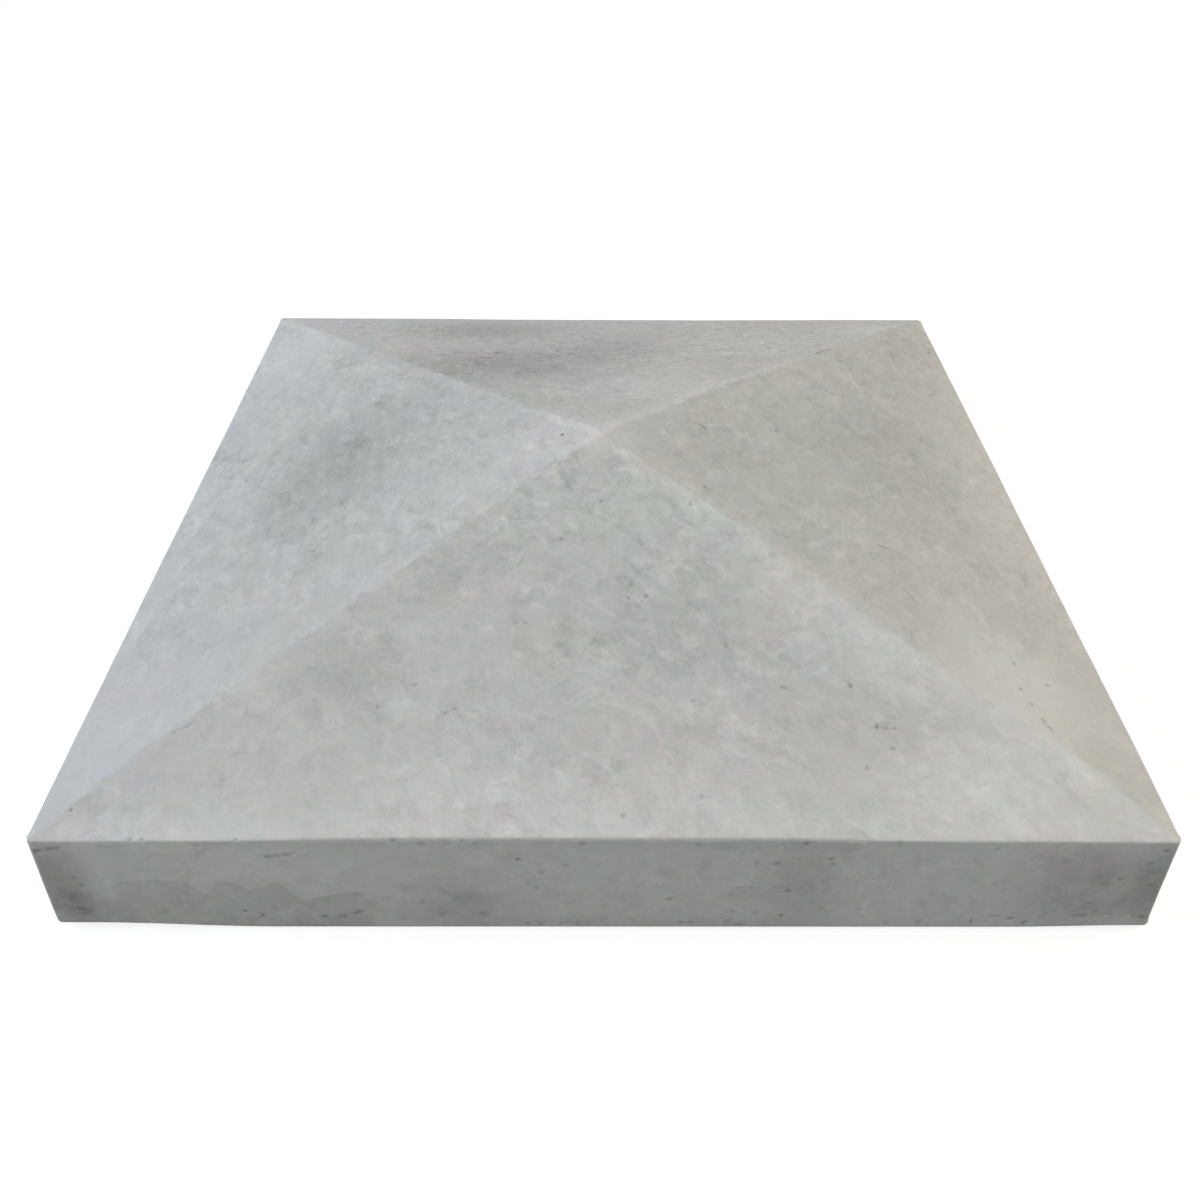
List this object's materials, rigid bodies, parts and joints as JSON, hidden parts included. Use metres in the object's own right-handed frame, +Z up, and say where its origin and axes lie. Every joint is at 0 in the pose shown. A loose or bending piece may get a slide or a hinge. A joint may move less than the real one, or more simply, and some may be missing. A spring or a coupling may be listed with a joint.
{
  "type": "pier cap",
  "caption": "Square cast concrete pier cap: low pyramid-shaped weathered top with soft hips and a blunted apex, plain drafted edge, and a drip groove round the flat underside.",
  "frame": {"origin": "middle of the foot, in the plane that beds on the pier", "axes": "+Z up through the apex; X and Y square to the sides; the side seen in the picture faces -Y"},
  "size_m": [0.4498, 0.4498, 0.1],
  "materials": {
    "concrete": "plain grey cast concrete, matt, with fine mottling and small air holes"
  },
  "bodies": {
    "root": {"pier_cap": "concrete"}
  },
  "joints": []
}
